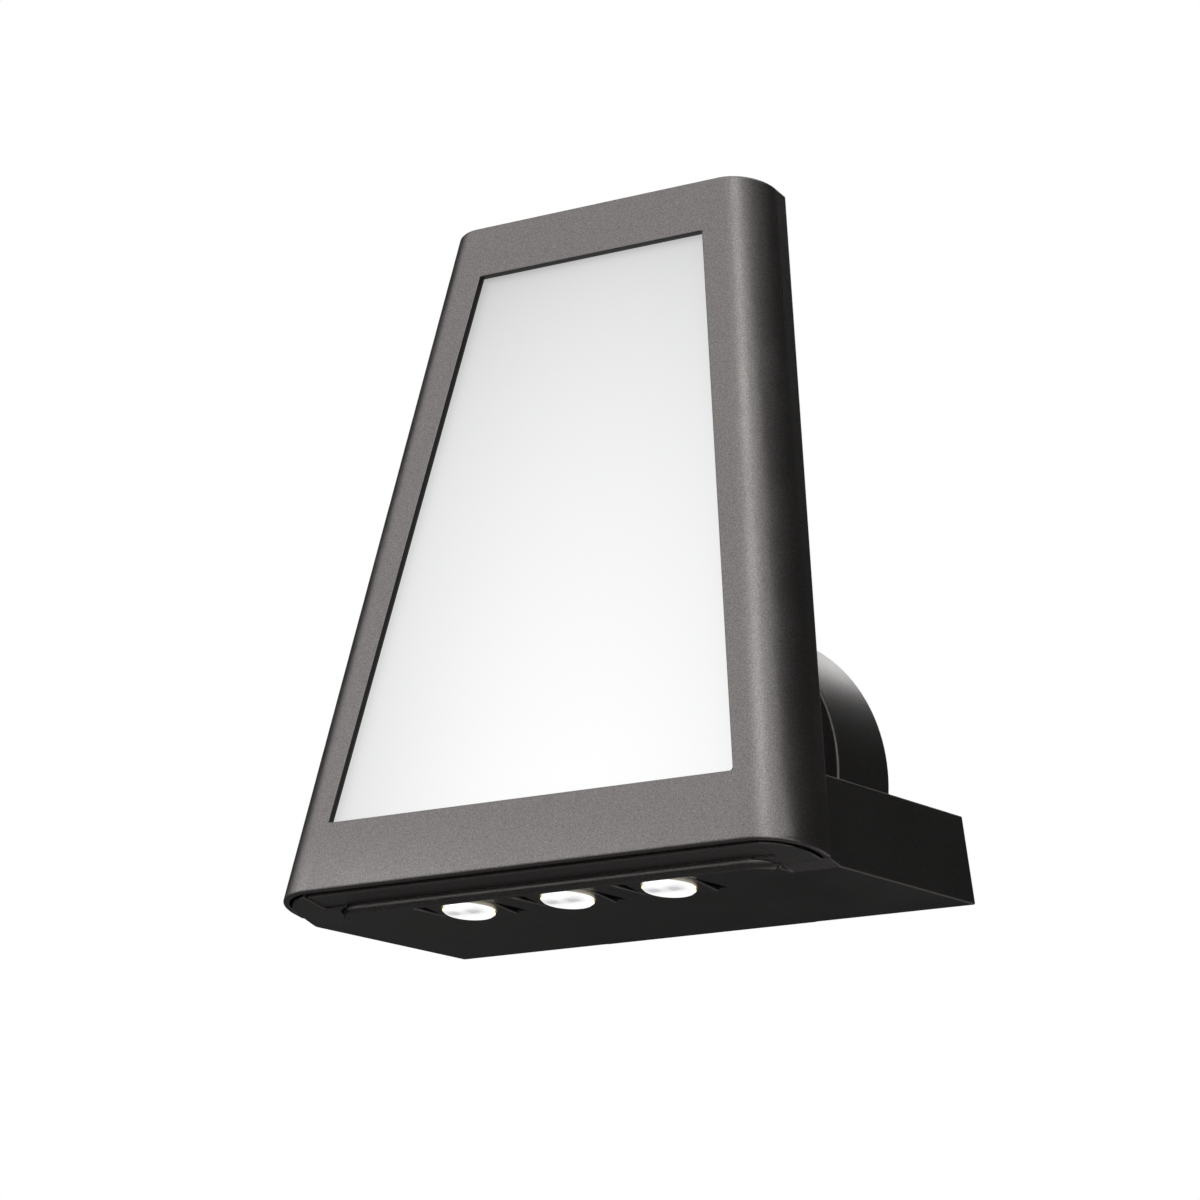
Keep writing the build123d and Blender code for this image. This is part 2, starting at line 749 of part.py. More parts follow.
export_step(spot_housing.part, "parts/spot_housing.step")

# Screws that join housing and shell, from inside the box
joint_heads = [on_rear(across, height, seat_play + flange_thickness) for across, height in joint_places]
housing_grip = flange_thickness + cover_screw_grip
housing_screws = screws(joint_heads, cover_screw_radius, housing_grip)
housing_screws.label = "housing_screws"
export_step(housing_screws, "parts/housing_screws.step")

# Housing lid: plate between the box's walls, cut out round the rose's notch
lid_edge = box_half_at(box_top, box_wall) - lid_seal_width - 2 * slide_play
lid_rear = box_rear - box_wall - lid_seal_width - 2 * slide_play
shell_rear_y = panel_point(rear_height(box_top), rear_at(rear_height(box_top)))[0]
lid_front = shell_rear_y + lid_seal_width + 2 * seat_play
notch_half = math.sqrt((rose_radius + rose_play + box_wall) ** 2 - box_top**2)
cut_half = notch_half + lid_seal_width + 2 * slide_play
cut_front = notch_inner - lid_seal_width - 2 * slide_play


def lid_sketch(grow):
    """Outline of the lid, grown evenly on all its edges."""
    with BuildSketch(Plane.XY.offset(lid_under)) as outline:
        with Locations((0, (lid_front + lid_rear) / 2)):
            Rectangle(2 * lid_edge + 2 * grow, lid_rear - lid_front + 2 * grow)
        with Locations((0, cut_front + grow)):
            Rectangle(
                2 * cut_half - 2 * grow,
                2 * box_standoff + rose_depth,
                align=(Align.CENTER, Align.MIN),
                mode=Mode.SUBTRACT,
            )
    return outline.sketch


with BuildPart() as housing_lid:
    extrude(lid_sketch(0), amount=lid_thickness)
    with BuildSketch(Plane.XY.offset(lid_under)):
        with Locations(*post_places):
            Circle(cover_screw_radius + seat_play)
    extrude(amount=lid_thickness, mode=Mode.SUBTRACT)
housing_lid.part.label = "housing_lid"
export_step(housing_lid.part, "parts/housing_lid.step")

with BuildPart() as lid_seal:
    extrude(lid_sketch(lid_seal_width + slide_play), amount=lid_thickness)
    extrude(lid_sketch(slide_play), amount=lid_thickness, mode=Mode.SUBTRACT)
lid_seal.part.label = "lid_seal"
export_step(lid_seal.part, "parts/lid_seal.step")

lid_heads = [facing((across, along, box_top), (0, 0, 1)) for across, along in post_places]
lid_screws = screws(lid_heads, cover_screw_radius, lid_thickness + cover_screw_grip - seat_play)
lid_screws.label = "lid_screws"
export_step(lid_screws, "parts/lid_screws.step")

# Pivot caps over the trunnions, and their screws
with BuildPart() as pivot_caps:
    with BuildSketch(Plane.XY.offset(spot_axis_z)):
        with Locations(*[(across, spot_axis_y) for across in saddle_places]):
            Rectangle(2 * saddle_half, saddle_depth)
    extrude(amount=cap_height)
    with BuildSketch(Plane.YZ):
        with Locations((spot_axis_y, spot_axis_z)):
            Circle(trunnion_radius + pivot_play)
    extrude(amount=saddle_reach, both=True, mode=Mode.SUBTRACT)
    with BuildSketch(Plane.XY.offset(spot_axis_z)):
        with Locations(*cap_screw_places):
            Circle(small_screw_radius + slide_play)
    extrude(amount=cap_height, mode=Mode.SUBTRACT)
pivot_caps.part.label = "pivot_caps"
export_step(pivot_caps.part, "parts/pivot_caps.step")

cap_top = spot_axis_z + cap_height
cap_heads = [facing((across, along, cap_top), (0, 0, 1)) for across, along in cap_screw_places]
pivot_cap_screws = screws(cap_heads, small_screw_radius, cap_height + cap_screw_grip - seat_play)
pivot_cap_screws.label = "pivot_cap_screws"
export_step(pivot_cap_screws, "parts/pivot_cap_screws.step")

# Tilting spots, three alike. Each has its own plane on the pivot axis, with z up the optical axis.
tilt = math.radians(spot_rest_tilt)
face = -spot_face_drop
bore_radius = lens_radius + lens_flange
board_under = spot_top - led_board_thickness
bush_start = spot_half_length + slide_play
bush_end = pocket_half_length + saddle_margin - slide_play
trunnion_end = pocket_half_length + saddle_margin + trunnion_grip
sink_screw_across = spot_half_length - sink_screw_edge
sink_screw_along = sink_half_width - sink_screw_edge
sink_screw_places = [(side * sink_screw_across, side * sink_screw_along) for side in (-1, 1)]


def make_carrier(plane, cross):
    """Carrier: slice of a drum with a stepped bore for the lens and a trunnion at each end."""
    with BuildPart() as spot_carrier:
        with BuildSketch(cross):
            Circle(drum_radius)
            with Locations((0, (spot_top + face) / 2)):
                Rectangle(4 * drum_radius, spot_body_height, mode=Mode.INTERSECT)
        extrude(amount=spot_half_length, both=True)
        with BuildSketch(plane.offset(spot_top)):
            Circle(bore_radius + slide_play)
        extrude(amount=lens_lip - spot_body_height, mode=Mode.SUBTRACT)
        with BuildSketch(plane.offset(face)):
            Circle(lens_radius + slide_play)
        extrude(amount=lens_lip, mode=Mode.SUBTRACT)
        for side in (-1, 1):
            with BuildSketch(cross.offset(side * spot_half_length)):
                Circle(trunnion_radius)
            extrude(amount=side * (trunnion_end - spot_half_length))
        with BuildSketch(plane.offset(spot_top)):
            with Locations(*sink_screw_places):
                Circle(spot_screw_radius + screw_play)
        extrude(amount=-spot_face_drop, mode=Mode.SUBTRACT)
    return spot_carrier.part


def make_lens(plane, profile):
    """Lens: crowned front, flange behind the carrier's lip and a cone with a cup for the LED's dome."""
    edge = face - lens_proud
    crown_radius = (lens_radius**2 + lens_crown**2) / (2 * lens_crown)
    half = lens_radius / 2
    middle = edge - lens_crown + crown_radius - math.sqrt(crown_radius**2 - half**2)
    flange_low = face + lens_lip
    flange_high = flange_low + lens_flange_thickness
    tip = board_under - slide_play
    with BuildPart() as spot_lens:
        with BuildSketch(profile):
            with BuildLine():
                ThreePointArc((0, edge - lens_crown), (half, middle), (lens_radius, edge))
                Polyline(
                    (lens_radius, edge),
                    (lens_radius, flange_low),
                    (bore_radius, flange_low),
                    (bore_radius, flange_high),
                    (lens_radius, flange_high),
                    (lens_tip_radius, tip),
                    (led_cup_radius, tip),
                    (led_cup_radius, tip - led_cup_depth),
                    (0, tip - led_cup_depth),
                    (0, edge - lens_crown),
                )
            make_face()
        revolve(axis=Axis(plane.origin, plane.z_dir))
    return spot_lens.part


def make_led_board(plane):
    """LED board: round metal-core board with one LED package and its dome."""
    with BuildPart() as spot_led_board:
        with BuildSketch(plane.offset(spot_top)):
            Circle(bore_radius)
        extrude(amount=-led_board_thickness)
        with BuildSketch(plane.offset(board_under)):
            Circle(led_dome_radius)
        extrude(amount=-led_dome_radius)
        dome_edge = spot_led_board.faces().sort_by(Axis(plane.origin, plane.z_dir))[0].edges()
        fillet(dome_edge, led_dome_radius * led_dome_round)
    return spot_led_board.part


def make_heat_sink(plane):
    """Heat sink: base plate with fins, bare at two corners for its screws."""
    fin_half = spot_half_length - 2 * sink_screw_edge
    fin_step = (2 * sink_half_width - sink_fin_thickness) / (sink_fin_count - 1)
    with BuildPart() as spot_heat_sink:
        with BuildSketch(plane.offset(spot_top)):
            Rectangle(2 * spot_half_length, 2 * sink_half_width)
        extrude(amount=sink_base)
        with BuildSketch(plane.offset(spot_top + sink_base)):
            with GridLocations(0, fin_step, 1, sink_fin_count):
                Rectangle(2 * fin_half, sink_fin_thickness)
        extrude(amount=sink_fin_height)
        with BuildSketch(plane.offset(spot_top)):
            with Locations(*sink_screw_places):
                Circle(spot_screw_radius + slide_play)
        extrude(amount=sink_base, mode=Mode.SUBTRACT)
    return spot_heat_sink.part


def make_bushes(cross):
    """Friction bushes: sleeves on both trunnions, between carrier and saddles."""
    with BuildPart() as friction_bushes:
        for side in (-1, 1):
            with BuildSketch(cross.offset(side * bush_start)):
                Circle(bush_radius)
                Circle(trunnion_radius + pivot_play, mode=Mode.SUBTRACT)
            extrude(amount=side * (bush_end - bush_start))
    return friction_bushes.part


for number, across in enumerate(spot_places, start=1):
    spot = facing((across, spot_axis_y, spot_axis_z), (0, math.sin(tilt), math.cos(tilt)))
    spot_cross = Plane(origin=spot.origin, x_dir=spot.y_dir, z_dir=(1, 0, 0))
    spot_profile = facing(spot.origin, -spot.y_dir)
    sink_top = spot.offset(spot_top + sink_base)
    sink_heads = [facing(sink_top.from_local_coords((*place, 0)), spot.z_dir) for place in sink_screw_places]
    pieces = {
        "spot_carrier": make_carrier(spot, spot_cross),
        "spot_lens": make_lens(spot, spot_profile),
        "spot_led_board": make_led_board(spot),
        "spot_heat_sink": make_heat_sink(spot),
        "spot_screws": screws(sink_heads, spot_screw_radius, sink_base + spot_face_drop - seat_play),
        "friction_bushes": make_bushes(spot_cross),
    }
    for name, piece in pieces.items():
        piece.label = f"{name}_{number}"
        export_step(piece, f"parts/{name}_{number}.step")

# LED driver: potted box with a lug at each end, on two posts of the floor
with BuildPart() as led_driver:
    with BuildSketch(Plane.XY.offset(driver_floor)):
        with Locations((0, driver_middle)):
            Rectangle(driver_length, driver_width)
    extrude(amount=driver_height)
    fillet(led_driver.edges().filter_by(Axis.Z), driver_edge_round)
    fillet(led_driver.faces().sort_by(Axis.Z)[-1].edges(), driver_edge_round)
    with BuildSketch(Plane.XY.offset(driver_floor)):
        with Locations(*driver_screw_places):
            Rectangle(driver_lug + 2 * driver_edge_round, driver_lug)
    extrude(amount=driver_lug_thickness)
    with BuildSketch(Plane.XY.offset(driver_floor)):
        with Locations(*driver_screw_places):
            Circle(cover_screw_radius + seat_play)
    extrude(amount=driver_lug_thickness, mode=Mode.SUBTRACT)
led_driver.part.label = "led_driver"
export_step(led_driver.part, "parts/led_driver.step")

lug_top = driver_floor + driver_lug_thickness
driver_heads = [facing((across, along, lug_top), (0, 0, 1)) for across, along in driver_screw_places]
driver_grip = driver_lug_thickness + driver_post_height - seat_play
driver_screws = screws(driver_heads, cover_screw_radius, driver_grip)
driver_screws.label = "driver_screws"
export_step(driver_screws, "parts/driver_screws.step")

# Wall rose: round cup with a flat foot, open to the wall
rose_foot = notch_floor + seat_play
rose_inner = rose_front + rose_wall
rose_screw_places = [(side * rose_screw_spacing / 2, 0) for side in (-1, 1)]
terminal_screw_place = (terminal_length / (2 * terminal_pole_count), terminal_lift)
with BuildPart() as wall_rose:
    add(rose_disc(rose_radius, rose_foot, 0, rose_front))
    fillet(wall_rose.faces().sort_by(Axis.Y)[0].edges(), rose_edge_round)
    add(rose_disc(rose_radius - rose_wall, rose_foot + rose_wall, 0, rose_inner), mode=Mode.SUBTRACT)
    with BuildSketch(Plane.XZ.offset(-rose_inner)):
        with Locations(*joint_screw_places):
            Circle(cover_boss_radius)
    extrude(amount=-joint_boss_length)
    with BuildSketch(Plane.XZ.offset(-rose_front)):
        with Locations(*joint_screw_places):
            Circle(cover_screw_radius + screw_play)
    extrude(amount=-rose_wall - joint_boss_length, mode=Mode.SUBTRACT)
    with BuildSketch(Plane.XZ.offset(-rose_front)):
        with Locations((0, joint_height)):
            Circle(cable_hole_radius)
        with Locations(*rose_screw_places):
            Circle(rose_screw_radius + seat_play)
    extrude(amount=-rose_wall, mode=Mode.SUBTRACT)
    with BuildSketch(Plane.XZ.offset(-rose_inner)):
        with Locations(terminal_screw_place):
            Circle(small_screw_radius + screw_play)
    extrude(amount=rose_wall / 2, mode=Mode.SUBTRACT)
wall_rose.part.label = "wall_rose"
export_step(wall_rose.part, "parts/wall_rose.step")

# Rose seal: soft ring inside the rose's rear rim
with BuildPart() as rose_seal:
    ring_radius = rose_radius - rose_wall - slide_play
    ring_foot = rose_foot + rose_wall + slide_play
    add(rose_disc(ring_radius, ring_foot, 0, -rose_seal_thickness))
    hole = rose_disc(ring_radius - rose_seal_width, ring_foot + rose_seal_width, 0, -rose_seal_thickness)
    add(hole, mode=Mode.SUBTRACT)
rose_seal.part.label = "rose_seal"
export_step(rose_seal.part, "parts/rose_seal.step")

# Wall bracket: strap with two slots, a cable hole and two threaded stand-offs
with BuildPart() as wall_bracket:
    with BuildSketch(Plane.XZ):
        SlotOverall(2 * bracket_half_length, 2 * bracket_half_height)
        Circle(bracket_cable_radius, mode=Mode.SUBTRACT)
        with Locations((-bracket_slot_spacing / 2, 0), (bracket_slot_spacing / 2, 0)):
            SlotOverall(bracket_slot_length, 2 * bracket_slot_radius, mode=Mode.SUBTRACT)
    extrude(amount=bracket_thickness)
    with BuildSketch(Plane.XZ.offset(bracket_thickness)):
        with Locations(*rose_screw_places):
            Circle(standoff_radius)
    extrude(amount=standoff_length)
    with BuildSketch(Plane.XZ.offset(bracket_thickness + standoff_length)):
        with Locations(*rose_screw_places):
            Circle(rose_screw_radius + screw_play)
    extrude(amount=-standoff_length, mode=Mode.SUBTRACT)
wall_bracket.part.label = "wall_bracket"
export_step(wall_bracket.part, "parts/wall_bracket.step")

rose_heads = [facing((across, rose_front, level), (0, -1, 0)) for across, level in rose_screw_places]
rose_screws = screws(rose_heads, rose_screw_radius, rose_depth - bracket_thickness - seat_play)
rose_screws.label = "rose_screws"
export_step(rose_screws, "parts/rose_screws.step")

# Joint between rose and housing: gasket, screws and cable grommet
with BuildPart() as joint_gasket:
    with BuildSketch(Plane.XZ.offset(-rose_front)):
        with Locations((0, joint_height)):
            RectangleRounded(joint_gasket_length, joint_gasket_height, cable_hole_radius)
            Circle(cable_hole_radius, mode=Mode.SUBTRACT)
        with Locations(*joint_screw_places):
            Circle(cover_screw_radius + seat_play, mode=Mode.SUBTRACT)
    extrude(amount=joint_gasket_thickness)
joint_gasket.part.label = "joint_gasket"
export_step(joint_gasket.part, "parts/joint_gasket.step")

joint_screw_heads = [facing((across, notch_inner, level), (0, -1, 0)) for across, level in joint_screw_places]
joint_grip = box_wall + joint_gasket_thickness + rose_wall + joint_boss_length - seat_play
joint_screws = screws(joint_screw_heads, cover_screw_radius, joint_grip)
joint_screws.label = "joint_screws"
export_step(joint_screws, "parts/joint_screws.step")

with BuildPart() as cable_grommet:
    lip_radius = cable_hole_radius + grommet_lip
    for start, finish, radius in (
        (rose_inner + grommet_lip_thickness, rose_inner, lip_radius),
        (rose_inner, notch_inner, cable_hole_radius - slide_play),
        (notch_inner, notch_inner - grommet_lip_thickness, lip_radius),
    ):
        with BuildSketch(Plane.XZ.offset(-start)):
            with Locations((0, joint_height)):
                Circle(radius)
                Circle(grommet_bore, mode=Mode.SUBTRACT)
        extrude(amount=start - finish)
cable_grommet.part.label = "cable_grommet"
export_step(cable_grommet.part, "parts/cable_grommet.step")

# Terminal block: three poles, on the rose's front wall
terminal_face = rose_inner + terminal_depth
pole_step = terminal_length / terminal_pole_count
with BuildPart() as terminal_block:
    with BuildSketch(Plane.XZ.offset(-terminal_face)):
        with Locations((0, terminal_lift)):
            Rectangle(terminal_length, terminal_height)
    extrude(amount=terminal_depth)
    with BuildSketch(Plane.XZ.offset(-terminal_face)):
        with Locations((0, terminal_lift)):
            with GridLocations(pole_step, terminal_height / 2, terminal_pole_count, 2):
                Circle(terminal_pole_radius)
    extrude(amount=terminal_pole_depth, mode=Mode.SUBTRACT)
    with BuildSketch(Plane.XZ.offset(-terminal_face)):
        with Locations(terminal_screw_place):
            Circle(small_screw_radius + slide_play)
    extrude(amount=terminal_depth, mode=Mode.SUBTRACT)
terminal_block.part.label = "terminal_block"
export_step(terminal_block.part, "parts/terminal_block.step")

terminal_head = facing((terminal_screw_place[0], terminal_face, terminal_screw_place[1]), (0, 1, 0))
terminal_grip = terminal_depth + rose_wall / 2 - seat_play
terminal_screw = screws([terminal_head], small_screw_radius, terminal_grip)
terminal_screw.label = "terminal_screw"
export_step(terminal_screw, "parts/terminal_screw.step")
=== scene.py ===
import json
import math

import bmesh
import bpy
from mathutils import Matrix, Vector


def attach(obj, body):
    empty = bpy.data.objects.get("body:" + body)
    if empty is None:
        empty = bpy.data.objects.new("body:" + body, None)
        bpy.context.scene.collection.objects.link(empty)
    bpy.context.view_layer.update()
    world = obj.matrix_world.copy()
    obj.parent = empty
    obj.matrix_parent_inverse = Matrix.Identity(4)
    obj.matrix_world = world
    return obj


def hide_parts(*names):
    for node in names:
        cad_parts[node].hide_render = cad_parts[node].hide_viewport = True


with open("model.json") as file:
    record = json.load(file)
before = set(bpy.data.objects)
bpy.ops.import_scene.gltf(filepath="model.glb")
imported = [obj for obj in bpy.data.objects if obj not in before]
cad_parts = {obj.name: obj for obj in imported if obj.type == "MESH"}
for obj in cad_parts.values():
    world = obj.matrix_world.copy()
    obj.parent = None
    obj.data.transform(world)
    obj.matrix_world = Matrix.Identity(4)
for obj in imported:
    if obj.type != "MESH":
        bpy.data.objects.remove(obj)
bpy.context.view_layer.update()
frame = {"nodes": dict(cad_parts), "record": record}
nodes = frame["nodes"]

# Camera, as the photograph was taken: from the right, below the light and looking up
CAMERA_PLACE = (0.7951, -1.25485, -0.28514)
CAMERA_YAW = 34.15
CAMERA_PITCH = 13.47
CAMERA_LENS = 135.54
CAMERA_SENSOR = 36.0
CAMERA_NEAR = 0.05
CAMERA_FAR = 50.0

# Floor, in metres, and how it looks
FLOOR_LEVEL = -1.7
FLOOR_SIZE = 24.0
FLOOR_COLOR = (0.8, 0.8, 0.8, 1.0)
FLOOR_ROUGHNESS = 0.9
FLOOR_SHINE = 0.1
FLOOR_GLOW = 0.4

# Softboxes that face the light's middle: azimuth from the front (positive to the right), elevation,
# distance, width, height, power and whether paint mirrors them
AIM = (0.0, -0.07, 0.05)
SOFTBOXES = {
    "key_left": (-48.0, 42.0, 1.6, 1.2, 1.2, 14.0, False),
    "fill_right": (60.0, 20.0, 1.8, 1.0, 1.0, 5.0, False),
    "strip_front": (18.0, 35.5, 1.5, 0.32, 0.9, 1.75, True),
    "low_front": (-50.0, 9.0, 1.5, 0.8, 0.14, 1.15, True),
    "high_rear": (188.0, 36.0, 1.6, 0.5, 0.4, 1.0, True),
}
WORLD_LEVEL = 0.45
WHITE = (1.0, 1.0, 1.0, 1.0)
BLACK = (0.0, 0.0, 0.0, 1.0)

# Dark screens that the shell's sides mirror, bent round the light: azimuths of their ends, radius,
# levels and glow. The right one starts further forward at its high edge.
SCREEN_RADIUS = 1.25
SCREEN_LOW = -0.45
SCREEN_HIGH = 1.6
SCREEN_STEPS = 24
RIGHT_FROM_LOW = 84.0
RIGHT_FROM_HIGH = 40.0
RIGHT_TO = 178.0
RIGHT_GLOW = 0.04
LEFT_FROM = 226.0
LEFT_TO = 276.0
LEFT_GLOW = 0.01

# Flat dark screen that the underside mirrors, with an upright skirt behind and a lower apron in front
FLAT_REACH = 3.0
FLAT_GLOW = 0.015
SKIRT_RADIUS = 2.94
SKIRT_FROM = 170.0
SKIRT_TO = 275.0
SKIRT_HIGH = 0.5
APRON_TO = 356.0
APRON_HIGH = 0.1

# Paler cards on the flat screen: corners, rise above it and glow
CARDS = {
    "card_low": ((-0.9, -0.9), (0.9, 0.55), 0.01, 0.09),
    "card_rear": ((-0.15, 0.12), (0.75, 0.8), 0.02, 0.4),
    "card_left": ((-2.4, 0.3), (-0.75, 1.3), 0.015, 0.12),
}

# Part of a noise's range that is used, heights of grain and drawn lines in metres, and how far a
# softened normal agrees with the true one on an edge and beside it
NOISE_LOW = 0.3
NOISE_HIGH = 0.7
GRAIN_DEPTH = 0.0001
LINE_DEPTH = 0.00005
EDGE_SHARP = 0.80
EDGE_FLAT = 0.985
EDGE_SAMPLES = 4

# Paint of shell, box and rose
PAINT_COLOR = (0.209, 0.197, 0.193)
PAINT_SPREAD = 0.26
PAINT_GRAIN = 2600.0
PAINT_GRAIN_LOW = 0.35
PAINT_GRAIN_HIGH = 0.65
PAINT_BUMP = 0.12
PAINT_CLOUD = 38.0
PAINT_ROUGHNESS = 0.36
PAINT_ROUGHNESS_SPREAD = 0.03
PAINT_EDGE = 0.0008

# Shell: the crowned stretch along its foot, in metres
FOOT_LEVEL = -0.0392
FOOT_HEIGHT = 0.019
FOOT_DROP = 0.0011

# Window: levels and half widths of the opening, in metres
WINDOW_FOOT = -0.0178
WINDOW_TOP = 0.1688
WINDOW_HALF_FOOT = 0.0768
WINDOW_HALF_TOP = 0.0439

# Wall of the window's opening, in painted shade: its share of the paint's colour, and the distances from
# the window's side, foot and top where the painted shade is full and where the paint begins
WALL_SHADE = 0.1
WALL_SIDE = (0.0001, 0.00025)
WALL_FOOT = (0.0008, 0.0004)
WALL_TOP = (0.0005, 0.00065)

# Diffuser: its own colour and share of light, and its glow by height and width, which is brightest
# low and right of the middle
OPAL_COLOR = (0.20, 0.202, 0.204)
OPAL_SPREAD = 0.02
OPAL_SHARE = 0.19
OPAL_GRAIN = 1800.0
OPAL_BUMP = 0.05
OPAL_ROUGHNESS = 0.51
OPAL_ROUGHNESS_SPREAD = 0.05
OPAL_SHINE = 0.2
GLOW_TOP = 0.657
GLOW_RISE = 0.344
GLOW_POWER = 0.525
GLOW_SIDE = 0.049
GLOW_SIDE_LOW = 0.094
GLOW_MIDDLE = 0.26

# Bare metals: shades of the drawn lines, cloudy sheen and soft edges
METAL_DARK = 0.72
METAL_LIGHT = 1.1
METAL_BUMP = 0.10
METAL_CLOUD = 160.0
METAL_ROUGHNESS_SPREAD = 0.08
METAL_EDGE = 0.00025

# Plastics and rubber: cloudy colour and paler, rubbed edges
MOULD_CLOUD = 90.0
MOULD_DARK = 0.88
MOULD_ROUGHNESS_SPREAD = 0.07
MOULD_EDGE = 0.0003
RUBBED_SHARE = 0.3
RUBBED_LIGHT = 1.18

# Resin of the LED chips
RESIN_DARK = (0.80, 0.62, 0.16)
RESIN_LIGHT = (0.86, 0.74, 0.32)
RESIN_GRAIN = 3000.0
RESIN_BUMP = 0.1
RESIN_GLOW = 0.6
RESIN_ROUGHNESS = 0.28
RESIN_ROUGHNESS_SPREAD = 0.06

# Spot optic, along its axis from the pivot, in metres
SPOT_NUMBERS = {"spot_left": 1, "spot_middle": 2, "spot_right": 3}
SPOT_TILT = 7.0
LENS_RADIUS = 0.0085
LENS_RIM = 0.0065
LENS_TOP = 0.00755
LENS_CROWN = 4
NECK_RADIUS = 0.0074
NECK_LEVEL = 0.0057
FLANGE_RADIUS = 0.0093
FLANGE_LOW = 0.0046
FLANGE_HIGH = 0.0034
TIP_RADIUS = 0.0042
TIP_LEVEL = -0.0029
CUP_RADIUS = 0.0024
CUP_LEVEL = -0.0007
PETALS = 6
PETAL_DENT = 0.00022
PETAL_REACH = 0.92
LENS_TURNS = 96
LENS_RINGS = 14
LENS_SHARP_ANGLE = 35.0

# Look of the lit optic: two soft grey ovals in its front half and a warm rim on a white face
OVAL_ACROSS = 0.0038
OVAL_AHEAD = 0.0026
OVAL_SIZE = (0.0064, 0.0052, 1.0)
OVAL_FULL = 0.6
OVAL_COLOR = (0.125, 0.125, 0.128)
FACE_COLOR = (0.232, 0.232, 0.230)
FACE_GLOW = 4.0
RIM_COLOR = (0.62, 0.50, 0.24)
RIM_START = 0.975
RIM_END = 0.998
LENS_DARK = (0.24, 0.24, 0.25)
LENS_LIGHT = (0.28, 0.28, 0.29)
LENS_GRAIN = 900.0
LENS_ROUGHNESS = 0.14
LENS_ROUGHNESS_SPREAD = 0.04
LENS_IOR = 1.49


def set_inputs(node, values):
    """Plain values on a node's inputs."""
    for name, value in values.items():
        node.inputs[name].default_value = value


def new_material(name):
    """Empty node material and its shader."""
    material = bpy.data.materials.new(name)
    material.use_nodes = True
    return material, material.node_tree.nodes["Principled BSDF"]


def add_node(owner, kind, values=None, **settings):
    """Node of a material or world, with its settings and plain input values."""
    node = owner.node_tree.nodes.new(kind)
    for name, value in settings.items():
        setattr(node, name, value)
    set_inputs(node, values or {})
    return node


def link(owner, source, target):
    """Joins an output to an input."""
    owner.node_tree.links.new(source, target)


def object_place(material):
    """Output with the place on the object, in metres."""
    return add_node(material, "ShaderNodeTexCoord").outputs["Object"]


def object_axes(material):
    """Outputs with the place across the object and its height, in metres."""
    node = add_node(material, "ShaderNodeSeparateXYZ")
    link(material, object_place(material), node.inputs[0])
    return node.outputs["X"], node.outputs["Z"]


def moved_place(material, offset=(0.0, 0.0, 0.0), scale=(1.0, 1.0, 1.0)):
    """Place on the object, scaled and shifted."""
    node = add_node(material, "ShaderNodeMapping", {"Location": offset, "Scale": scale})
    link(material, object_place(material), node.inputs["Vector"])
    return node.outputs["Vector"]


def noise(material, scale, detail=2.0, place=None):
    """Noise factor over the object's own space."""
    node = add_node(material, "ShaderNodeTexNoise", {"Scale": scale, "Detail": detail})
    link(material, place or object_place(material), node.inputs["Vector"])
    return node.outputs[0]


def remap(material, source, low, high, start=0.0, end=1.0):
    """A factor mapped from a range to another, which it stays in."""
    values = {"From Min": low, "From Max": high, "To Min": start, "To Max": end}
    node = add_node(material, "ShaderNodeMapRange", values)
    link(material, source, node.inputs["Value"])
    return node.outputs["Result"]


def vary(material, source, middle, spread):
    """A noise factor mapped to a spread on both sides of a middle value."""
    return remap(material, source, NOISE_LOW, NOISE_HIGH, middle - spread, middle + spread)


def calculate(owner, operation, first, second=None):
    """Result of a math operation on outputs or plain numbers."""
    node = add_node(owner, "ShaderNodeMath", operation=operation)
    for value, socket in zip((first, second), node.inputs):
        if isinstance(value, (int, float)):
            socket.default_value = value
        elif value is not None:
            link(owner, value, socket)
    return node.outputs[0]


def blend_colors(material, factor, first, second):
    """Colour between two, by a factor."""
    node = add_node(material, "ShaderNodeMix", data_type="RGBA")
    colors = [socket for socket in node.inputs if socket.type == "RGBA"]
    for value, socket in zip((first, second), colors):
        if isinstance(value, tuple):
            socket.default_value = (*value, 1.0)
        else:
            link(material, value, socket)
    link(material, factor, node.inputs["Factor"])
    return [socket for socket in node.outputs if socket.type == "RGBA"][0]


def bump(material, height, strength, distance, normal=None):
    """Normal bent by a height."""
    node = add_node(material, "ShaderNodeBump", {"Strength": strength, "Distance": distance})
    link(material, height, node.inputs["Height"])
    if normal is not None:
        link(material, normal, node.inputs["Normal"])
    return node.outputs["Normal"]


def shade(color, share):
    """Colour times a share."""
    return tuple(value * share for value in color)


def soft_normal(material, radius):
    """Normal softened at edges."""
    return add_node(material, "ShaderNodeBevel", {"Radius": radius}, samples=EDGE_SAMPLES).outputs["Normal"]


def edge_factor(material, soft):
    """Factor that is 1 on edges, where the softened normal leaves the true one."""
    sharp = add_node(material, "ShaderNodeNewGeometry").outputs["Normal"]
    same = add_node(material, "ShaderNodeVectorMath", operation="DOT_PRODUCT")
    link(material, soft, same.inputs[0])
    link(material, sharp, same.inputs[1])
    return remap(material, same.outputs["Value"], EDGE_SHARP, EDGE_FLAT, 1.0, 0.0)


def crowned_foot(material):
    """Height that bends the shell's front gently back along its foot."""
    height = object_axes(material)[1]
    near = remap(material, height, FOOT_LEVEL + FOOT_HEIGHT, FOOT_LEVEL)
    return calculate(material, "MULTIPLY", calculate(material, "MULTIPLY", near, near), -1.0)


def window_half(material, height):
    """Half width of the window at a height."""
    return remap(material, height, WINDOW_FOOT, WINDOW_TOP, WINDOW_HALF_FOOT, WINDOW_HALF_TOP)


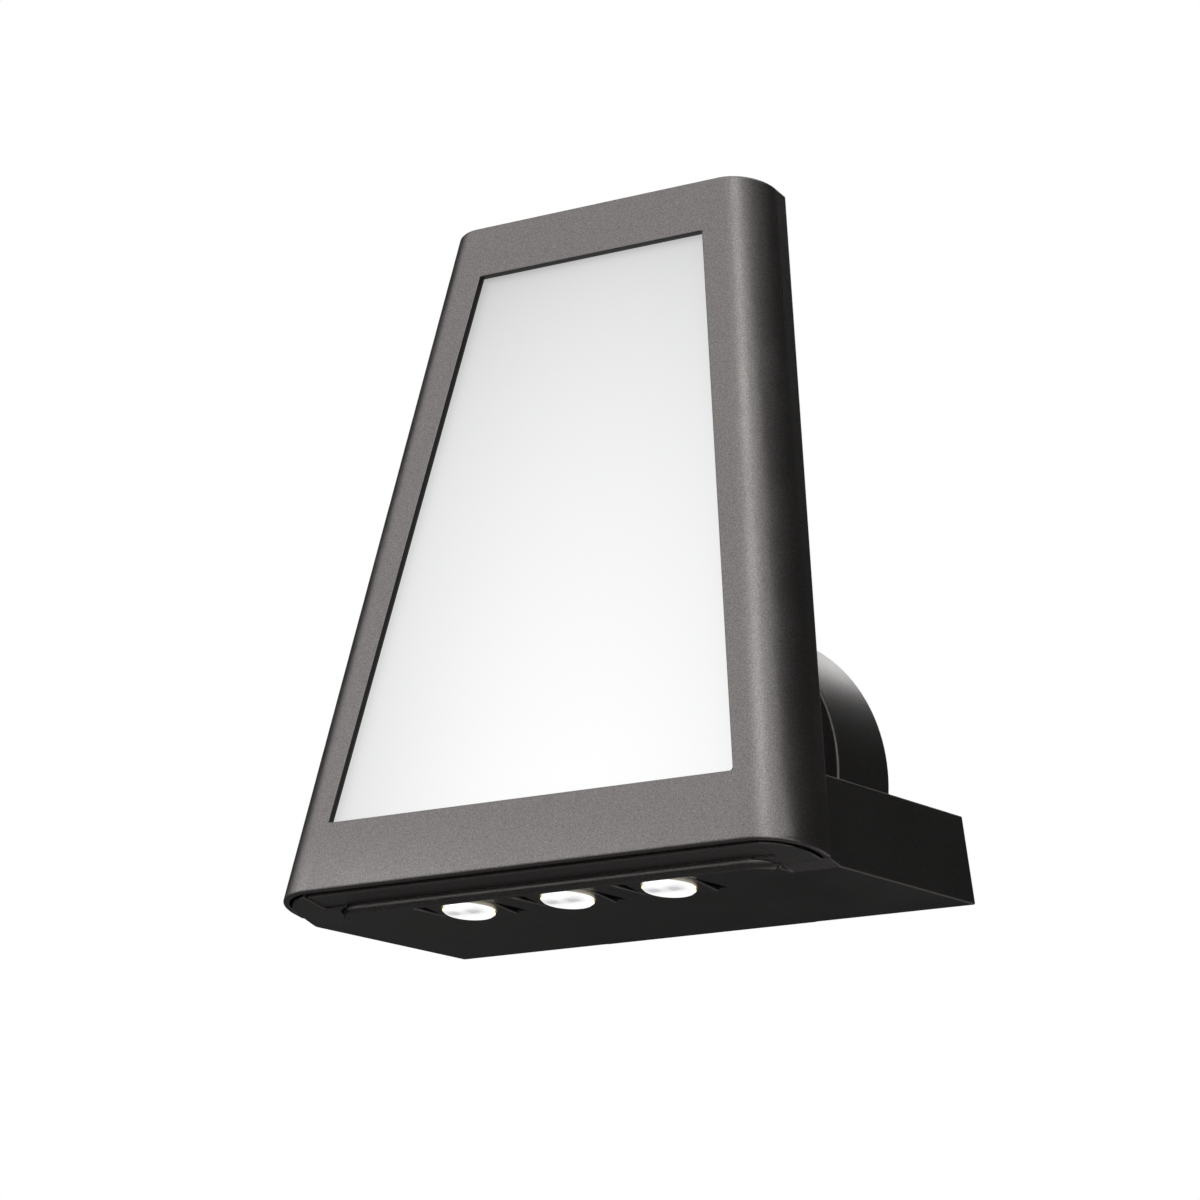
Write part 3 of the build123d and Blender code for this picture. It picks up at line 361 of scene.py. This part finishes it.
def opening_wall_shade(material):
    """Mask of painted shade: 1 on the wall of the window's opening."""
    across, height = object_axes(material)
    aside = calculate(material, "ABSOLUTE", across)
    beyond = calculate(material, "SUBTRACT", aside, window_half(material, height))
    factor = None
    for place, edge, (dark, clear) in (
        (beyond, 0.0, WALL_SIDE),
        (height, WINDOW_FOOT, WALL_FOOT),
        (height, WINDOW_TOP, WALL_TOP),
    ):
        inside = remap(material, place, edge + clear, edge + dark)
        factor = inside if factor is None else calculate(material, "MULTIPLY", factor, inside)
    return factor


def graphite_paint(name, level, edge_share=2.0, wear_and_highlight_share=0.4, shell=False):
    """Fine-textured metallic powder coat, lighter on its edges: partly a thinner coat there, partly a
    painted highlight.
    """
    material, shader = new_material(name)
    color = shade(PAINT_COLOR, level)
    grain = noise(material, PAINT_GRAIN, detail=3.0)
    cloud = noise(material, PAINT_CLOUD, detail=3.0)
    dark, light = shade(color, 1.0 - PAINT_SPREAD), shade(color, 1.0 + PAINT_SPREAD)
    speckle = remap(material, grain, PAINT_GRAIN_LOW, PAINT_GRAIN_HIGH)
    soft = soft_normal(material, PAINT_EDGE)
    # Edges lightened: partly wear of a thinner coat, partly a painted highlight along the rims
    wear_and_highlight = calculate(material, "MULTIPLY", edge_factor(material, soft), wear_and_highlight_share)
    coat = blend_colors(material, speckle, dark, light)
    coat = blend_colors(material, wear_and_highlight, coat, shade(color, edge_share))
    if shell:
        # Painted shade: the wall of the window's opening darkened to near black
        coat = blend_colors(material, opening_wall_shade(material), coat, shade(color, WALL_SHADE))
        soft = bump(material, crowned_foot(material), 1.0, FOOT_DROP, soft)
    rough = vary(material, cloud, PAINT_ROUGHNESS, PAINT_ROUGHNESS_SPREAD)
    link(material, coat, shader.inputs["Base Color"])
    link(material, rough, shader.inputs["Roughness"])
    link(material, bump(material, grain, PAINT_BUMP, GRAIN_DEPTH, soft), shader.inputs["Normal"])
    set_inputs(shader, {"Metallic": 1.0})
    return material


def opal_glow(material):
    """Glow of the diffuser, which is lit from behind along its foot."""
    across, height = object_axes(material)
    down = remap(material, height, WINDOW_TOP, WINDOW_FOOT)
    aside = calculate(material, "DIVIDE", across, window_half(material, height))
    aside = calculate(material, "SUBTRACT", aside, GLOW_MIDDLE)
    low_share = calculate(material, "MULTIPLY", down, down)
    low_share = calculate(material, "MULTIPLY", low_share, GLOW_SIDE_LOW)
    fall = calculate(material, "MULTIPLY", aside, aside)
    fall = calculate(material, "MULTIPLY", fall, calculate(material, "ADD", low_share, GLOW_SIDE))
    rise = calculate(material, "POWER", down, GLOW_POWER)
    rise = calculate(material, "MULTIPLY", rise, GLOW_RISE)
    glow = calculate(material, "ADD", rise, GLOW_TOP - OPAL_SHARE)
    return calculate(material, "SUBTRACT", glow, fall)


def opal_sheet():
    """Lit opal sheet with a fine matt grain."""
    material, shader = new_material("opal_sheet")
    glow = opal_glow(material)
    light = add_node(material, "ShaderNodeCombineColor")
    for socket in light.inputs[:3]:
        link(material, glow, socket)
    grain = noise(material, OPAL_GRAIN)
    dark, pale = shade(OPAL_COLOR, 1.0 - OPAL_SPREAD), shade(OPAL_COLOR, 1.0 + OPAL_SPREAD)
    rough = vary(material, grain, OPAL_ROUGHNESS, OPAL_ROUGHNESS_SPREAD)
    link(material, light.outputs["Color"], shader.inputs["Emission Color"])
    link(material, blend_colors(material, grain, dark, pale), shader.inputs["Base Color"])
    link(material, rough, shader.inputs["Roughness"])
    link(material, bump(material, grain, OPAL_BUMP, GRAIN_DEPTH), shader.inputs["Normal"])
    set_inputs(shader, {"Emission Strength": 1.0, "Specular IOR Level": OPAL_SHINE})
    return material


def metal(name, color, roughness, stretch):
    """Bare metal with fine drawn lines and a cloudy sheen."""
    material, shader = new_material(name)
    lines = noise(material, 1.0, detail=4.0, place=moved_place(material, scale=stretch))
    cloud = noise(material, METAL_CLOUD, detail=3.0)
    drawn = blend_colors(material, lines, shade(color, METAL_DARK), shade(color, METAL_LIGHT))
    rough = vary(material, cloud, roughness, METAL_ROUGHNESS_SPREAD)
    soft = soft_normal(material, METAL_EDGE)
    link(material, drawn, shader.inputs["Base Color"])
    link(material, rough, shader.inputs["Roughness"])
    link(material, bump(material, lines, METAL_BUMP, LINE_DEPTH, soft), shader.inputs["Normal"])
    set_inputs(shader, {"Metallic": 1.0})
    return material


def moulded(name, color, roughness, grain_scale, strength):
    """Moulded plastic or rubber with a fine grain, cloudy colour and paler edges."""
    material, shader = new_material(name)
    grain = noise(material, grain_scale, detail=3.0)
    cloud = noise(material, MOULD_CLOUD, detail=4.0)
    soft = soft_normal(material, MOULD_EDGE)
    rubbed = calculate(material, "MULTIPLY", edge_factor(material, soft), RUBBED_SHARE)
    body = blend_colors(material, cloud, shade(color, MOULD_DARK), color)
    body = blend_colors(material, rubbed, body, shade(color, RUBBED_LIGHT))
    rough = vary(material, grain, roughness, MOULD_ROUGHNESS_SPREAD)
    link(material, body, shader.inputs["Base Color"])
    link(material, rough, shader.inputs["Roughness"])
    link(material, bump(material, grain, strength, GRAIN_DEPTH, soft), shader.inputs["Normal"])
    return material


def led_resin():
    """Yellow phosphor of the LED chips, lit from inside."""
    material, shader = new_material("led_resin")
    grain = noise(material, RESIN_GRAIN)
    color = blend_colors(material, grain, RESIN_DARK, RESIN_LIGHT)
    rough = vary(material, grain, RESIN_ROUGHNESS, RESIN_ROUGHNESS_SPREAD)
    link(material, color, shader.inputs["Base Color"])
    link(material, color, shader.inputs["Emission Color"])
    link(material, rough, shader.inputs["Roughness"])
    link(material, bump(material, grain, RESIN_BUMP, GRAIN_DEPTH), shader.inputs["Normal"])
    set_inputs(shader, {"Emission Strength": RESIN_GLOW})
    return material


def soft_oval(material, middle, size):
    """Factor that is 1 in the middle of a soft oval on the optic and 0 outside."""
    scale = tuple(1.0 / value for value in size)
    shift = tuple(-value * share for value, share in zip(middle, scale))
    node = add_node(material, "ShaderNodeTexGradient", gradient_type="QUADRATIC_SPHERE")
    link(material, moved_place(material, offset=shift, scale=scale), node.inputs["Vector"])
    return node.outputs[1]


def lens_optic():
    """Lit optic: white, with soft grey ovals in its front half and a warm rim."""
    material, shader = new_material("lens_optic")
    lean = math.radians(SPOT_TILT)
    front = LENS_RIM * math.sin(lean)
    left, right = (
        soft_oval(material, (across, -OVAL_AHEAD - front, 0.0), OVAL_SIZE)
        for across in (-OVAL_ACROSS, OVAL_ACROSS)
    )
    ovals = remap(material, calculate(material, "ADD", left, right), 0.0, OVAL_FULL)
    flat = moved_place(material, offset=(0.0, front, 0.0), scale=(1.0, 1.0 / math.cos(lean), 0.0))
    radius = add_node(material, "ShaderNodeVectorMath", operation="LENGTH")
    link(material, flat, radius.inputs[0])
    rim = remap(material, radius.outputs["Value"], LENS_RADIUS * RIM_START, LENS_RADIUS * RIM_END)
    light = blend_colors(material, ovals, FACE_COLOR, OVAL_COLOR)
    light = blend_colors(material, rim, light, RIM_COLOR)
    grain = noise(material, LENS_GRAIN)
    rough = vary(material, grain, LENS_ROUGHNESS, LENS_ROUGHNESS_SPREAD)
    link(material, light, shader.inputs["Emission Color"])
    link(material, blend_colors(material, grain, LENS_DARK, LENS_LIGHT), shader.inputs["Base Color"])
    link(material, rough, shader.inputs["Roughness"])
    set_inputs(shader, {"Emission Strength": FACE_GLOW, "IOR": LENS_IOR})
    return material


# Finish of each material slot of the record
FINISHES = {
    "shell_paint": graphite_paint("shell_paint", 1.0, shell=True),
    "box_paint": graphite_paint("box_paint", 0.94),
    # Trim: strong painted highlight along its edges, standing in for the bright line on its front edge
    "trim_paint": graphite_paint("trim_paint", 0.88, edge_share=4.8, wear_and_highlight_share=0.9),
    "opal": opal_sheet(),
    "white_sheet": moulded("white_sheet", (0.80, 0.80, 0.80), 0.50, 1500.0, 0.06),
    "led_board": moulded("led_board", (0.76, 0.77, 0.78), 0.40, 2200.0, 0.08),
    "led_chip": led_resin(),
    "spot_black": graphite_paint("spot_black", 0.8),
    "clear_lens": lens_optic(),
    "raw_aluminium": metal("raw_aluminium", (0.66, 0.67, 0.69), 0.36, (60.0, 900.0, 900.0)),
    "nylon": moulded("nylon", (0.68, 0.66, 0.60), 0.50, 900.0, 0.10),
    "screw_steel": metal("screw_steel", (0.50, 0.50, 0.51), 0.30, (1400.0, 1400.0, 200.0)),
    "zinc_steel": metal("zinc_steel", (0.60, 0.61, 0.64), 0.38, (40.0, 700.0, 700.0)),
    "seal_rubber": moulded("seal_rubber", (0.016, 0.016, 0.016), 0.72, 1300.0, 0.20),
    "driver_case": moulded("driver_case", (0.72, 0.72, 0.71), 0.46, 1100.0, 0.12),
    "terminal_plastic": moulded("terminal_plastic", (0.68, 0.66, 0.58), 0.48, 900.0, 0.10),
}


def finish_nodes():
    """Every node of the part in the finish of its slot."""
    for part in frame["record"]["subparts"]:
        mesh = nodes[part["node"]].data
        mesh.materials.clear()
        mesh.materials.append(FINISHES[part["material_slot"]])


def lens_rings():
    """Radius, level and petal dent of the optic's rings, from the front's middle to the LED's cup."""
    rings = []
    for step in range(1, LENS_RINGS + 1):
        share = step / LENS_RINGS
        dent = PETAL_DENT * math.sin(math.pi * min(1.0, share / PETAL_REACH)) ** 2
        level = LENS_RIM + (LENS_TOP - LENS_RIM) * math.sqrt(1.0 - share**LENS_CROWN)
        rings.append((share * LENS_RADIUS, level, dent))
    for radius, level in (
        (NECK_RADIUS, NECK_LEVEL),
        (NECK_RADIUS, FLANGE_LOW),
        (FLANGE_RADIUS, FLANGE_LOW),
        (FLANGE_RADIUS, FLANGE_HIGH),
        (LENS_RADIUS, FLANGE_HIGH),
        (TIP_RADIUS, TIP_LEVEL),
        (CUP_RADIUS, TIP_LEVEL),
        (CUP_RADIUS, CUP_LEVEL),
    ):
        rings.append((radius, level, 0.0))
    return rings


def lens_mesh():
    """Lathe form of the optic: crowned front with petal dents, flange, cone and cup for the LED."""
    shape = bmesh.new()
    loops = []
    for radius, level, dent in lens_rings():
        loop = []
        for turn in range(LENS_TURNS):
            angle = 2.0 * math.pi * turn / LENS_TURNS
            drop = dent * (0.5 + 0.5 * math.cos(PETALS * angle))
            place = (radius * math.cos(angle), radius * math.sin(angle), level - drop)
            loop.append(shape.verts.new(place))
        loops.append(loop)
    for inner, outer in zip(loops, loops[1:]):
        for turn in range(LENS_TURNS):
            following = (turn + 1) % LENS_TURNS
            shape.faces.new((inner[turn], outer[turn], outer[following], inner[following]))
    middle = shape.verts.new((0.0, 0.0, LENS_TOP))
    for turn in range(LENS_TURNS):
        shape.faces.new((middle, loops[0][turn], loops[0][(turn + 1) % LENS_TURNS]))
    shape.faces.new(list(reversed(loops[-1])))
    bmesh.ops.recalc_face_normals(shape, faces=shape.faces)
    for face in shape.faces:
        face.smooth = True
    for edge in shape.edges:
        edge.smooth = edge.calc_face_angle(0.0) < math.radians(LENS_SHARP_ANGLE)
    mesh = bpy.data.meshes.new("spot_optic")
    shape.to_mesh(mesh)
    shape.free()
    return mesh


def make_lenses():
    """One optic on each tilting spot, in place of its plain solid."""
    tilt = math.radians(SPOT_TILT)
    across = Vector((1, 0, 0))
    ahead = Vector((0, -math.cos(tilt), math.sin(tilt)))
    out = Vector((0, -math.sin(tilt), -math.cos(tilt)))
    turn = Matrix((across, ahead, out)).transposed().to_4x4()
    for joint in frame["record"]["behaviour"]["joints"]:
        side = joint["child"]
        number = SPOT_NUMBERS[side]
        lens = bpy.data.objects.new(f"optic_{number}", lens_mesh())
        lens.data.materials.append(FINISHES["clear_lens"])
        bpy.context.scene.collection.objects.link(lens)
        lens.data.transform(turn)
        lens.location = joint["pos_m"]
        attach(lens, side)
        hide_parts(f"spot_lens_{number}")


def seen_rays(owner):
    """Output that is 1 for rays that see or mirror a surface."""
    path = add_node(owner, "ShaderNodeLightPath")
    seen = path.outputs["Is Camera Ray"]
    for name in ("Is Glossy Ray", "Is Transmission Ray"):
        seen = calculate(owner, "MAXIMUM", seen, path.outputs[name])
    return seen


def make_world():
    """Soft studio in front of a background that is white wherever it is seen or mirrored."""
    world = bpy.data.worlds.new("studio")
    bpy.context.scene.world = world
    world.use_nodes = True
    soft = world.node_tree.nodes["Background"]
    set_inputs(soft, {"Color": WHITE, "Strength": WORLD_LEVEL})
    white = add_node(world, "ShaderNodeBackground", {"Color": WHITE, "Strength": 1.0})
    mix = add_node(world, "ShaderNodeMixShader")
    link(world, seen_rays(world), mix.inputs["Fac"])
    link(world, soft.outputs[0], mix.inputs[1])
    link(world, white.outputs[0], mix.inputs[2])
    link(world, mix.outputs[0], world.node_tree.nodes["World Output"].inputs["Surface"])


def make_floor():
    """Wide pale floor, well below the light, which keeps its shadow."""
    bpy.ops.mesh.primitive_plane_add(size=FLOOR_SIZE, location=(0, 0, FLOOR_LEVEL))
    floor = bpy.context.object
    floor.name = "floor"
    material, shader = new_material("floor_pale")
    set_inputs(shader, {
        "Base Color": FLOOR_COLOR,
        "Roughness": FLOOR_ROUGHNESS,
        "Specular IOR Level": FLOOR_SHINE,
        "Emission Color": WHITE,
    })
    glow = calculate(material, "MULTIPLY", seen_rays(material), FLOOR_GLOW)
    link(material, glow, shader.inputs["Emission Strength"])
    floor.data.materials.append(material)


def make_screen(name, faces, glow):
    """Dark studio screen with a faint glow, which only reflections show."""
    shape = bmesh.new()
    for corners in faces:
        shape.faces.new([shape.verts.new(corner) for corner in corners])
    mesh = bpy.data.meshes.new(name)
    shape.to_mesh(mesh)
    shape.free()
    screen = bpy.data.objects.new(name, mesh)
    material, shader = new_material(name)
    set_inputs(shader, {
        "Base Color": BLACK,
        "Specular IOR Level": 0.0,
        "Emission Color": WHITE,
        "Emission Strength": glow,
    })
    mesh.materials.append(material)
    bpy.context.scene.collection.objects.link(screen)
    screen.visible_camera = False
    screen.visible_diffuse = False
    screen.visible_transmission = False
    screen.visible_shadow = False


def flat_face(near_left, far_right, level):
    """Corners of a level rectangle."""
    (left, near), (right, far) = near_left, far_right
    return [(left, near, level), (right, near, level), (right, far, level), (left, far, level)]


def curved_faces(radius, starts, end, high):
    """Faces of an upright screen bent round the light, whose low and high edge start apart."""
    edges = []
    for start, level in zip(starts, (SCREEN_LOW, high)):
        step = (end - start) / SCREEN_STEPS
        turns = [math.radians(start + step * count) for count in range(SCREEN_STEPS + 1)]
        edges.append([(radius * math.sin(turn), -radius * math.cos(turn), level) for turn in turns])
    lower, upper = edges
    return list(zip(lower, lower[1:], upper[1:], upper))


def make_screens():
    """Curved screens at the right and left, a flat one below and paler cards on it."""
    right_starts = (RIGHT_FROM_LOW, RIGHT_FROM_HIGH)
    right = curved_faces(SCREEN_RADIUS, right_starts, RIGHT_TO, SCREEN_HIGH)
    left = curved_faces(SCREEN_RADIUS, (LEFT_FROM, LEFT_FROM), LEFT_TO, SCREEN_HIGH)
    low = [flat_face((-FLAT_REACH, -FLAT_REACH), (FLAT_REACH, FLAT_REACH), SCREEN_LOW)]
    low.extend(curved_faces(SKIRT_RADIUS, (SKIRT_FROM, SKIRT_FROM), SKIRT_TO, SKIRT_HIGH))
    low.extend(curved_faces(SKIRT_RADIUS, (SKIRT_TO, SKIRT_TO), APRON_TO, APRON_HIGH))
    make_screen("screen_side", right, RIGHT_GLOW)
    make_screen("screen_left", left, LEFT_GLOW)
    make_screen("screen_low", low, FLAT_GLOW)
    for name, (near_left, far_right, rise, glow) in CARDS.items():
        make_screen(name, [flat_face(near_left, far_right, SCREEN_LOW + rise)], glow)


def make_softbox(name, azimuth, elevation, distance, width, height, power, mirrored):
    """Area lamp that faces the light from a direction."""
    turn, rise = math.radians(azimuth), math.radians(elevation)
    way = Vector((math.sin(turn) * math.cos(rise), -math.cos(turn) * math.cos(rise), math.sin(rise)))
    data = bpy.data.lights.new(name, "AREA")
    data.shape = "RECTANGLE"
    data.size = width
    data.size_y = height
    data.energy = power
    lamp = bpy.data.objects.new(name, data)
    lamp.location = Vector(AIM) + way * distance
    lamp.rotation_euler = way.to_track_quat("Z", "Y").to_euler()
    lamp.visible_camera = False
    lamp.visible_glossy = mirrored
    bpy.context.scene.collection.objects.link(lamp)


def make_camera():
    """Camera at the photograph's place."""
    data = bpy.data.cameras.new("camera")
    data.sensor_width = CAMERA_SENSOR
    data.lens = CAMERA_LENS
    data.clip_start = CAMERA_NEAR
    data.clip_end = CAMERA_FAR
    camera = bpy.data.objects.new("camera", data)
    camera.location = CAMERA_PLACE
    camera.rotation_euler = (math.radians(90.0 + CAMERA_PITCH), 0.0, math.radians(CAMERA_YAW))
    bpy.context.scene.collection.objects.link(camera)
    bpy.context.scene.camera = camera


finish_nodes()
make_lenses()
make_world()
make_floor()
make_screens()
for box_name, box_values in SOFTBOXES.items():
    make_softbox(box_name, *box_values)
make_camera()
bpy.context.scene.view_settings.view_transform = "Standard"
